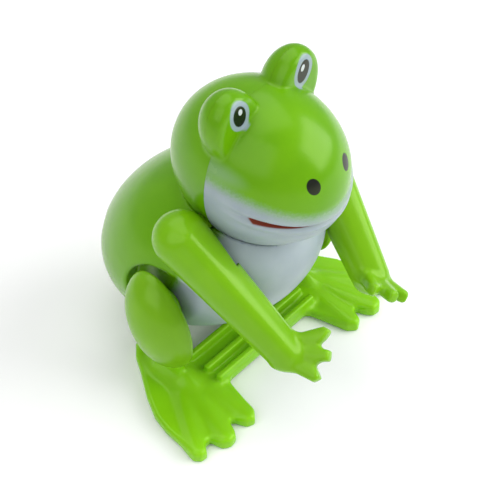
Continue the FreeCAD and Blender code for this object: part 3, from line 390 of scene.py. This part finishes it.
def foot(points):
    sided = both_sides(points)
    edge = outline_distance(sided[:, 0], sided[:, 1], FOOT_OUTLINE)
    form = trim(edge, np.abs(points[:, 2] - SOLE_HALF) - SOLE_HALF, 0.8)
    for toe in TOES:
        ridge = tapered(sided, ANKLE, toe, TOE_ROOT, TOE_TIP)
        form = join(form, trim(ridge, edge + 0.1, 0.6), 1.6)
    return join(form, tapered(sided, ANKLE, HEEL, HEEL_ROOT, TOE_TIP), 1.2)


SHIN_INNER, SHIN_OUTER, SHIN_HALF, HIP_EYE = 16.4, 18.4, 3.0, 3.0
ANKLE_CENTRE, ANKLE_RADII = (16.9, HIP_Y - 0.5, 1.0), (2.4, 6.0, 4.0)
BAR_PLATE = ((-13.5, -3.4, 1.2), (13.5, 5.1, 2.4))
BAR_FOOT = ((12.6, -3.2, 0.5), (14.6, 4.9, 2.6))
RIBS, RIB_THICK, RIB_REACH, RIB_LOW, RIB_TOP = (-3.4, -0.33, 3.9), 1.2, 13.3, 0.5, 4.2


def legs(points):
    sided = both_sides(points)
    shin = (SHIN_INNER, HIP_Y - SHIN_HALF, 0.3), (SHIN_OUTER, HIP_Y + SHIN_HALF, HIP_Z)
    shin = rounded_box(sided, *shin, 0.25)
    layer = np.abs(sided[:, 0] - (SHIN_INNER + SHIN_OUTER) / 2) - (SHIN_OUTER - SHIN_INNER) / 2
    eye = trim(cylinder(sided, AXLE, ACROSS, HIP_EYE), layer, 0.3)
    ankle = ellipsoid(sided, ANKLE_CENTRE, ANKLE_RADII)
    bar = rounded_box(points, *BAR_PLATE, 0.2)
    for start in RIBS:
        rib = (-RIB_REACH, start, RIB_LOW), (RIB_REACH, start + RIB_THICK, RIB_TOP)
        bar = join(bar, rounded_box(points, *rib, 0.25), 0.4)
    ends = rounded_box(sided, *BAR_FOOT, 0.6)
    form = join(join(foot(points), ankle, 2.0), join(shin, eye, 0.5), 0.8)
    form = join(form, join(bar, ends, 0.4), 1.2)
    form = trim(form, -points[:, 2], 0.3)
    return trim(form, -cylinder(points, AXLE, ACROSS, AXLE_SNUG), 0.1)


THIGH_FACE, SOCKET_END = THIGH_CENTRE[0] + 0.02, 21.6


def thigh(points):
    form = ellipsoid(points, THIGH_CENTRE, THIGH_RADII, THIGH_LEAN)
    form = trim(form, THIGH_FACE - points[:, 0], 0.9)
    socket = np.maximum(cylinder(points, AXLE, ACROSS, AXLE_SNUG), points[:, 0] - SOCKET_END)
    return trim(form, -socket, 0.1)


def unit(way):
    return np.array(way, float) / np.linalg.norm(way)


def square_to(way, axis):
    """The part of a direction that is square to an axis, at length 1."""
    return unit(np.array(way, float) - axis * (np.array(way, float) @ axis))


ARM_ROOT, ARM_WRIST = 4.8, 3.3
WRIST = np.array([11.6, -16.8, 20.5])
ARM_ALONG = unit(WRIST - SHOULDER)
ARM_RIDGE = square_to((0.35, -0.45, 0.82), ARM_ALONG)
RIDGE_SUNK, RIDGE_ROOT, RIDGE_TIP = 1.2, 1.45, 1.4
HAND_ALONG = unit((-0.36, -0.90, 0.24))
HAND_OUT = square_to((0.79, -0.11, -0.6), HAND_ALONG)
HAND_UP = np.cross(HAND_OUT, HAND_ALONG)
PALM_HALF, FINGER_ROOT, FINGER_TIP, FINGER_FAN = 0.8, 1.5, 1.0, 0.35
FINGERS = ((6.7, -3.6), (7.3, 0.0), (6.0, 3.4))
HAND_OUTLINE = ((-1.5, -2.5), (3.0, -3.3), (6.3, -4.6), (7.3, -4.1), (6.6, -2.7), (5.9, -1.8),
                (6.6, -0.9), (7.9, -0.7), (7.9, 0.7), (6.6, 0.9), (5.7, 1.8), (6.0, 2.6), (6.7, 3.8),
                (5.8, 4.4), (2.8, 3.3), (-1.5, 2.5))
ARM_GAP, ARM_TURNS, NECK_SIDE = 0.3, (0, 10, 20, 30), 12.4
PEG_MIDDLE, PEG_HALF = 12.5, 3.9
NECK_REACH, NECK_NEAR = 1.5, 3


def hand(points):
    local = points - WRIST
    along, out, up = local @ HAND_ALONG, local @ HAND_OUT, local @ HAND_UP
    edge = outline_distance(along, out, HAND_OUTLINE)
    form = trim(edge, np.abs(up) - PALM_HALF, 0.6)
    flat = np.column_stack((along, out, up))
    for reach, side in FINGERS:
        finger = tapered(flat, (-0.5, side * FINGER_FAN, 0), (reach, side, 0.0), FINGER_ROOT, FINGER_TIP)
        form = join(form, trim(finger, edge, 0.6), 1.0)
    return form


def arm(points):
    """The left arm, hand and peg, clear of the torso at rest and while the arm is raised."""
    bone = tapered(points, SHOULDER, WRIST, ARM_ROOT, ARM_WRIST)
    start = SHOULDER + ARM_RIDGE * (ARM_ROOT - RIDGE_SUNK)
    end = WRIST + ARM_RIDGE * (ARM_WRIST - RIDGE_SUNK)
    ridge = tapered(points, start, end, RIDGE_ROOT, RIDGE_TIP)
    form = join(join(bone, ridge, 1.2), hand(points), 1.1)
    inwards = NECK_SIDE - points[:, 0]
    near_neck = np.maximum(inwards, np.linalg.norm(points - SHOULDER, axis=1) - ARM_ROOT * NECK_REACH)
    limit = np.where(near_neck < NECK_NEAR, inwards, -NECK_NEAR)
    form = np.where(near_neck > -NECK_NEAR, trim(form, limit, 0.5), form)
    for turn in ARM_TURNS:
        turned = (points - SHOULDER) @ about_x(turn) + SHOULDER
        form = trim(form, ARM_GAP - torso_egg(turned), 0.5)
    peg_ends = np.abs(points[:, 0] - PEG_MIDDLE) - PEG_HALF
    peg = trim(cylinder(points, SHOULDER, ACROSS, PEG_RADIUS), peg_ends, 0.2)
    return join(form, peg, 0.4)


def mirrored(field):
    return lambda points: field(points * (-1, 1, 1))


# ---------------------------------------------------------------- materials

class Shader:
    """Short ways to build a procedural material's nodes."""

    def __init__(self, name):
        self.material = bpy.data.materials.new(name)
        self.material.use_nodes = True
        self.tree = self.material.node_tree
        self.surface = self.tree.nodes["Principled BSDF"]
        self.place = self.node("ShaderNodeTexCoord").outputs["Object"]

    def node(self, kind, **settings):
        item = self.tree.nodes.new(kind)
        for key, value in settings.items():
            setattr(item, key, value)
        return item

    def feed(self, socket, value):
        if isinstance(value, bpy.types.NodeSocket):
            self.tree.links.new(value, socket)
        else:
            socket.default_value = value

    def math(self, operation, first, second=0.0, third=0.0, clamp=False):
        item = self.node("ShaderNodeMath", operation=operation, use_clamp=clamp)
        for socket, value in zip(item.inputs, (first, second, third)):
            self.feed(socket, value)
        return item.outputs[0]

    def ramp(self, value, low, high):
        """0 at low and 1 at high, with a soft change between them."""
        item = self.node("ShaderNodeMapRange", interpolation_type="SMOOTHSTEP")
        for socket, given in zip(item.inputs, (value, low, high, 0.0, 1.0)):
            self.feed(socket, given)
        return item.outputs[0]

    def mix(self, share, first, second):
        item = self.node("ShaderNodeMix", data_type="RGBA")
        self.feed(item.inputs["Factor"], share)
        self.feed(item.inputs[6], first)
        self.feed(item.inputs[7], second)
        return item.outputs[2]

    def noise(self, scale, detail=3.0, roughness=0.5):
        item = self.node("ShaderNodeTexNoise")
        self.feed(item.inputs["Vector"], self.place)
        item.inputs["Scale"].default_value = scale
        item.inputs["Detail"].default_value = detail
        item.inputs["Roughness"].default_value = roughness
        return item.outputs["Fac"]

    def axes(self):
        """Millimetres from ORIGIN: the distance from the middle, Y and Z."""
        parts = self.node("ShaderNodeSeparateXYZ")
        self.feed(parts.inputs[0], self.place)
        out = []
        for index, name in enumerate("XYZ"):
            scaled = self.math("MULTIPLY", parts.outputs[name], 1 / MM)
            out.append(self.math("SUBTRACT", scaled, float(ORIGIN[index])))
        out[0] = self.math("ABSOLUTE", out[0])
        return out

    def oval(self, first, second, centre, half, lean=0.0, soft=0.06):
        """1 inside an oval in the plane of two coordinates, its long way leaning by some degrees."""
        cos, sin = math.cos(math.radians(lean)), math.sin(math.radians(lean))
        a = self.math("SUBTRACT", first, centre[0])
        b = self.math("SUBTRACT", second, centre[1])
        across = self.math("SUBTRACT", self.math("MULTIPLY", a, cos), self.math("MULTIPLY", b, sin))
        upwards = self.math("ADD", self.math("MULTIPLY", a, sin), self.math("MULTIPLY", b, cos))
        across = self.math("MULTIPLY", across, 1 / half[0])
        upwards = self.math("MULTIPLY", upwards, 1 / half[1])
        reach = self.math("SQRT", self.math("ADD", self.math("MULTIPLY", across, across),
                                            self.math("MULTIPLY", upwards, upwards)))
        return self.ramp(reach, 1 + soft, 1 - soft)

    def finish_bump(self, height, strength, distance):
        bump = self.node("ShaderNodeBump")
        bump.inputs["Strength"].default_value = strength
        bump.inputs["Distance"].default_value = distance
        self.feed(bump.inputs["Height"], height)
        self.feed(self.surface.inputs["Normal"], bump.outputs["Normal"])


SCUFF_RISE = (1.5, 1.25, 1.5)


def plastic_base(shader, colour, deep):
    """Tone and roughness of moulded plastic: cloudy colour and fine handling scuffs."""
    clouds = shader.noise(90.0, 2.0)
    tone = shader.mix(shader.ramp(clouds, 0.3, 0.7), colour, deep)
    scuffs = shader.ramp(shader.noise(1400.0, 6.0, 0.7), 0.62, 0.8)
    pale = [min(part * rise + 0.03, 1) for part, rise in zip(colour, SCUFF_RISE)] + [1]
    tone = shader.mix(shader.math("MULTIPLY", scuffs, 0.16), tone, pale)
    rough = shader.math("ADD", shader.math("MULTIPLY", shader.noise(240.0, 4.0), 0.12), 0.17)
    rough = shader.math("ADD", rough, shader.math("MULTIPLY", scuffs, 0.1))
    return tone, rough


PLASTIC_IOR, PLASTIC_SPECULAR, GREEN_GLINT = 1.5, 0.4, (0.85, 1.0, 0.5, 1)
SCATTER_RADIUS, SCATTER_DEPTH = (0.75, 1.0, 0.2), 0.0016


def set_plastic(shader, translucence):
    """Translucence, gloss and a faint orange-peel."""
    surface = shader.surface
    surface.inputs["Subsurface Weight"].default_value = translucence
    surface.inputs["Subsurface Radius"].default_value = SCATTER_RADIUS
    surface.inputs["Subsurface Scale"].default_value = SCATTER_DEPTH
    surface.inputs["IOR"].default_value = PLASTIC_IOR
    surface.inputs["Specular IOR Level"].default_value = PLASTIC_SPECULAR
    surface.inputs["Specular Tint"].default_value = GREEN_GLINT
    shader.finish_bump(shader.noise(500.0, 3.0), 0.12, 0.00012)


def green_plastic(name, colour, deep, translucence=0.25):
    shader = Shader(name)
    tone, rough = plastic_base(shader, colour, deep)
    shader.feed(shader.surface.inputs["Base Color"], tone)
    shader.feed(shader.surface.inputs["Roughness"], rough)
    set_plastic(shader, translucence)
    return shader.material


GREEN, GREEN_DEEP = (0.135, 0.36, 0.002, 1), (0.11, 0.315, 0.0015, 1)
WHITE, WHITE_DEEP = (0.36, 0.42, 0.46, 1), (0.31, 0.37, 0.415, 1)
BLACK = (0.006, 0.006, 0.008, 1)
MOUTH_RED = (0.17, 0.008, 0.007, 1)
MOUTH_THICK, MOUTH_FLARE = 0.12, 0.0034
NOSTRIL_CENTRE, NOSTRIL_HALF = (3.9, 51.45), (1.08, 1.34)
MIST_CENTRE, MIST_HALF, MIST_SHARE = (12.2, 52.6), (1.1, 1.5), 0.3
SPRAY_GLOSS, BELLY_GLOSS = 0.36, 0.4
EYE_LEAN = 16.0
EYE_CENTRE = (7.5, 61.05)
EYE_COATS = (
    (EYE_CENTRE, (2.1, 2.85), (0.27, 0.35, 0.39, 1), 0.3),
    (EYE_CENTRE, (1.35, 2.05), BLACK, 0.2),
    ((EYE_CENTRE[0] - 0.15, EYE_CENTRE[1] + 0.75), (0.42, 0.62), (0.55, 0.6, 0.62, 1), 0.25),
)


def painted(shader, tone, rough, mask, colour, gloss):
    """Lay a coat of paint over what is there."""
    bare = shader.math("MULTIPLY", rough, shader.math("SUBTRACT", 1.0, mask))
    return shader.mix(mask, tone, colour), shader.math("ADD", bare, shader.math("MULTIPLY", mask, gloss))


def spray_grain(shader, depth):
    return shader.math("MULTIPLY", shader.math("SUBTRACT", shader.noise(2500.0, 4.0, 0.7), 0.5), depth)


def sprayed_white(shader):
    return shader.mix(shader.ramp(shader.noise(150.0), 0.3, 0.7), WHITE, WHITE_DEEP)


def face_material():
    """Green face, sprayed white jaw, printed eyes, nostrils and mouth."""
    shader = Shader("face_green_painted")
    tone, rough = plastic_base(shader, GREEN, GREEN_DEEP)
    x, y, z = shader.axes()
    grain = spray_grain(shader, 1.4)
    squared = shader.math("MULTIPLY", y, y)
    line = shader.math("ADD", z, shader.math("MULTIPLY", squared, PAINT_BEND))
    line = shader.math("ADD", line, grain)
    spray = shader.ramp(line, PAINT_TOP + 0.9, PAINT_TOP - 2.2)
    tone, rough = painted(shader, tone, rough, spray, sprayed_white(shader), SPRAY_GLOSS)

    mist = shader.math("MULTIPLY", shader.oval(x, z, MIST_CENTRE, MIST_HALF, 0, 0.8), MIST_SHARE)
    tone, rough = painted(shader, tone, rough, mist, WHITE, SPRAY_GLOSS)

    bend = shader.math("MULTIPLY", squared, MOUTH_BEND)
    rise = shader.math("ADD", shader.math("SUBTRACT", z, MOUTH_TOP), bend)
    flare = shader.math("MULTIPLY", shader.math("MULTIPLY", x, x), MOUTH_FLARE)
    half = shader.math("ADD", flare, MOUTH_THICK)
    near = shader.math("DIVIDE", shader.math("ABSOLUTE", rise), half)
    ends = shader.ramp(x, MOUTH_HALF + 0.15, MOUTH_HALF - 0.1)
    mouth = shader.math("MULTIPLY", shader.ramp(near, 1.25, 0.85), ends)
    mouth = shader.math("MULTIPLY", mouth, shader.ramp(y, -6.0, -7.0))
    tone, rough = painted(shader, tone, rough, mouth, MOUTH_RED, 0.4)

    front = shader.ramp(y, -9.0, -10.0)
    nostril = shader.math("MULTIPLY", shader.oval(x, z, NOSTRIL_CENTRE, NOSTRIL_HALF), front)
    tone, rough = painted(shader, tone, rough, nostril, BLACK, 0.22)

    off_bump = shader.math("ABSOLUTE", shader.math("SUBTRACT", y, BUMP_FRONT))
    on_bump = shader.ramp(off_bump, 0.85, 0.6)
    for centre, radii, colour, gloss in EYE_COATS:
        coat = shader.math("MULTIPLY", shader.oval(x, z, centre, radii, EYE_LEAN), on_bump)
        tone, rough = painted(shader, tone, rough, coat, colour, gloss)

    shader.feed(shader.surface.inputs["Base Color"], tone)
    shader.feed(shader.surface.inputs["Roughness"], rough)
    set_plastic(shader, 0.18)
    return shader.material


def belly_material():
    """White sprayed over the green moulding, thin at the seam."""
    shader = Shader("belly_white_painted")
    tone, rough = plastic_base(shader, GREEN, GREEN_DEEP)
    _, y, z = shader.axes()
    back = shader.math("MULTIPLY", shader.math("SUBTRACT", y, SEAM_POINT[1]), SEAM_NORMAL[1])
    up = shader.math("MULTIPLY", shader.math("SUBTRACT", z, SEAM_POINT[2]), SEAM_NORMAL[2])
    behind = shader.math("ADD", back, up)
    cover = shader.ramp(shader.math("ADD", behind, spray_grain(shader, 1.6)), -0.2, -2.2)
    tone, rough = painted(shader, tone, rough, cover, sprayed_white(shader), BELLY_GLOSS)
    shader.feed(shader.surface.inputs["Base Color"], tone)
    shader.feed(shader.surface.inputs["Roughness"], rough)
    set_plastic(shader, 0.12)
    return shader.material


def inner_plastic(name, colour, deep):
    """Dull plastic with a fine grain, for the clockwork's mouldings."""
    shader = Shader(name)
    tone, rough = plastic_base(shader, colour, deep)
    shader.feed(shader.surface.inputs["Base Color"], tone)
    shader.feed(shader.surface.inputs["Roughness"], shader.math("ADD", rough, 0.18))
    shader.surface.inputs["IOR"].default_value = 1.52
    shader.finish_bump(shader.noise(900.0, 5.0), 0.25, 0.0001)
    return shader.material


def metal(name, colour, deep, roughness):
    """Drawn or turned metal: fine lines one way, faint tarnish and scratches."""
    shader = Shader(name)
    tarnish = shader.ramp(shader.noise(700.0, 5.0, 0.6), 0.42, 0.7)
    lines = shader.node("ShaderNodeTexWave", wave_type="BANDS", bands_direction="X")
    shader.feed(lines.inputs["Vector"], shader.place)
    lines.inputs["Scale"].default_value = 1800.0
    lines.inputs["Distortion"].default_value = 3.0
    shader.feed(shader.surface.inputs["Base Color"], shader.mix(tarnish, colour, deep))
    rough = shader.math("ADD", shader.math("MULTIPLY", lines.outputs["Fac"], 0.12), roughness)
    rough = shader.math("ADD", rough, shader.math("MULTIPLY", tarnish, 0.15))
    shader.feed(shader.surface.inputs["Roughness"], rough)
    shader.surface.inputs["Metallic"].default_value = 1.0
    shader.surface.inputs["Anisotropic"].default_value = 0.3
    shader.finish_bump(lines.outputs["Fac"], 0.15, 0.00005)
    return shader.material


def floor_material():
    shader = Shader("studio_floor")
    speck = shader.noise(60.0, 5.0)
    tone = shader.mix(speck, (0.93, 0.93, 0.93, 1), (0.90, 0.90, 0.905, 1))
    rough = shader.math("ADD", shader.math("MULTIPLY", speck, 0.1), 0.7)
    shader.feed(shader.surface.inputs["Base Color"], tone)
    shader.feed(shader.surface.inputs["Roughness"], rough)
    return shader.material


frog_green = green_plastic("frog_green_plastic", GREEN, GREEN_DEEP)
foot_green = green_plastic("foot_green_plastic", (0.24, 0.58, 0.008, 1), (0.21, 0.52, 0.006, 1), 0.3)
arm_green = green_plastic("arm_green_plastic", (0.19, 0.45, 0.006, 1), (0.165, 0.41, 0.004, 1))
thigh_green = green_plastic("thigh_green_plastic", (0.18, 0.42, 0.007, 1), (0.155, 0.37, 0.006, 1))
knob_green = green_plastic("knob_green_plastic", (0.22, 0.52, 0.008, 1), (0.19, 0.47, 0.006, 1))
face_painted = face_material()
belly_painted = belly_material()


# ---------------------------------------------------------------- pieces

FORWARDS, BACKWARDS = (0, 1, 0), (0, -1, 0)
TO_BELLY = tuple(-part for part in SEAM_NORMAL)
moulding("face_visual", head_shell, (-14, -19, 30), (14, 1.5, 66), 0.3, face_painted, "torso",
         ["face_shell"], (FACE_SEAM, FORWARDS))
moulding("head_back_visual", head_shell, (-14, -2.5, 30), (14, 17, 66), 0.36, frog_green, "torso",
         ["head_back_shell"], (FACE_SEAM, BACKWARDS))
moulding("body_back_visual", torso_shell, (-20, -8, -1), (20, 34, 45), 0.4, frog_green, "torso",
         ["body_back_shell"], (SEAM_POINT, TO_BELLY))
moulding("belly_visual", torso_shell, (-20, -12, -1), (20, 22, 45), 0.4, belly_painted, "torso",
         ["belly_shell"], (SEAM_POINT, SEAM_NORMAL))
moulding("legs_visual", legs, (-29, -15, -1), (29, 17.5, 25.5), 0.32, foot_green, "legs",
         ["feet_and_crossbar"])
moulding("thigh_left_visual", thigh, (17.5, -6, 6), (26, 14, 31), 0.35, thigh_green, "legs",
         ["thigh_left"])
moulding("thigh_right_visual", mirrored(thigh), (-26, -6, 6), (-17.5, 14, 31), 0.35, thigh_green, "legs",
         ["thigh_right"])
moulding("arm_left_visual", arm, (0.5, -27.5, 12), (24, 9, 46), 0.32, arm_green, "arm_left",
         ["arm_left"])
moulding("arm_right_visual", mirrored(arm), (-24, -27.5, 12), (-0.5, 9, 46), 0.32, arm_green, "arm_right",
         ["arm_right"])

gear_white = inner_plastic("gear_white_plastic", (0.72, 0.71, 0.66, 1), (0.62, 0.60, 0.54, 1))
gear_black = inner_plastic("gear_black_plastic", (0.02, 0.02, 0.021, 1), (0.013, 0.013, 0.014, 1))
steel = metal("bright_steel", (0.56, 0.56, 0.57, 1), (0.38, 0.36, 0.34, 1), 0.24)
spring_steel = metal("blued_spring_steel", (0.25, 0.27, 0.33, 1), (0.16, 0.15, 0.17, 1), 0.2)
brass = metal("turned_brass", (0.72, 0.52, 0.22, 1), (0.45, 0.30, 0.12, 1), 0.2)
FINISHES = {"frog_green": frog_green, "foot_green": foot_green, "thigh_green": thigh_green,
            "belly_white": belly_painted, "face_green": face_painted, "knob_green": knob_green,
            "gear_white": gear_white, "gear_black": gear_black, "steel": steel,
            "spring_steel": spring_steel, "brass": brass}

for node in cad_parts.values():
    slot = node.data.materials[0].name.split(".")[0]
    node.data.materials.clear()
    node.data.materials.append(FINISHES[slot])


# ---------------------------------------------------------------- floor, light and camera

FLOOR_HALF = 3.0
LIT_POINT = Vector((0, 0, 0.03))
CAMERA_PLACE = np.array([-116.54, -101.84, 180.98])
CAMERA_TURN, CAMERA_RISE = 221.5, 45.3


def add_floor():
    mesh = bpy.data.meshes.new("studio_floor")
    corners = [(x * FLOOR_HALF, y * FLOOR_HALF, 0) for x, y in ((-1, -1), (1, -1), (1, 1), (-1, 1))]
    mesh.from_pydata(corners, [], [(0, 1, 2, 3)])
    mesh.materials.append(floor_material())
    floor = bpy.data.objects.new("studio_floor", mesh)
    bpy.context.scene.collection.objects.link(floor)


def add_light(name, direction, distance, size, power, tint=(1, 1, 1)):
    lamp = bpy.data.lights.new(name, "AREA")
    lamp.shape = "RECTANGLE"
    lamp.size, lamp.size_y = size
    lamp.energy = power
    lamp.color = tint
    item = bpy.data.objects.new(name, lamp)
    way = Vector(direction).normalized()
    item.location = LIT_POINT + way * distance
    item.rotation_euler = way.to_track_quat("Z", "Y").to_euler()
    bpy.context.scene.collection.objects.link(item)


def add_camera():
    lens = bpy.data.cameras.new("photo_camera")
    lens.lens, lens.sensor_width = 90.0, 36.0
    lens.clip_start, lens.clip_end = 0.01, 20.0
    camera = bpy.data.objects.new("photo_camera", lens)
    turn, rise = math.radians(CAMERA_TURN), math.radians(CAMERA_RISE)
    back = Vector((math.cos(rise) * math.cos(turn), math.cos(rise) * math.sin(turn), math.sin(rise)))
    camera.location = (ORIGIN + CAMERA_PLACE) * MM
    camera.rotation_euler = back.to_track_quat("Z", "Y").to_euler()
    bpy.context.scene.collection.objects.link(camera)
    bpy.context.scene.camera = camera


add_floor()
add_light("key_softbox", (0.62, -0.72, 0.62), 0.55, (0.55, 0.42), 3.0)
add_light("fill_softbox", (-0.9, -0.1, 0.75), 0.6, (0.5, 0.5), 1.2, (0.97, 0.99, 1.0))
add_light("top_softbox", (0.1, 0.3, 1.0), 0.7, (0.7, 0.7), 2.6)
world = bpy.data.worlds.new("studio")
world.use_nodes = True
world.node_tree.nodes["Background"].inputs["Color"].default_value = (1.0, 1.0, 1.0, 1)
world.node_tree.nodes["Background"].inputs["Strength"].default_value = 0.42
bpy.context.scene.world = world
bpy.context.scene.view_settings.view_transform = "Standard"
add_camera()
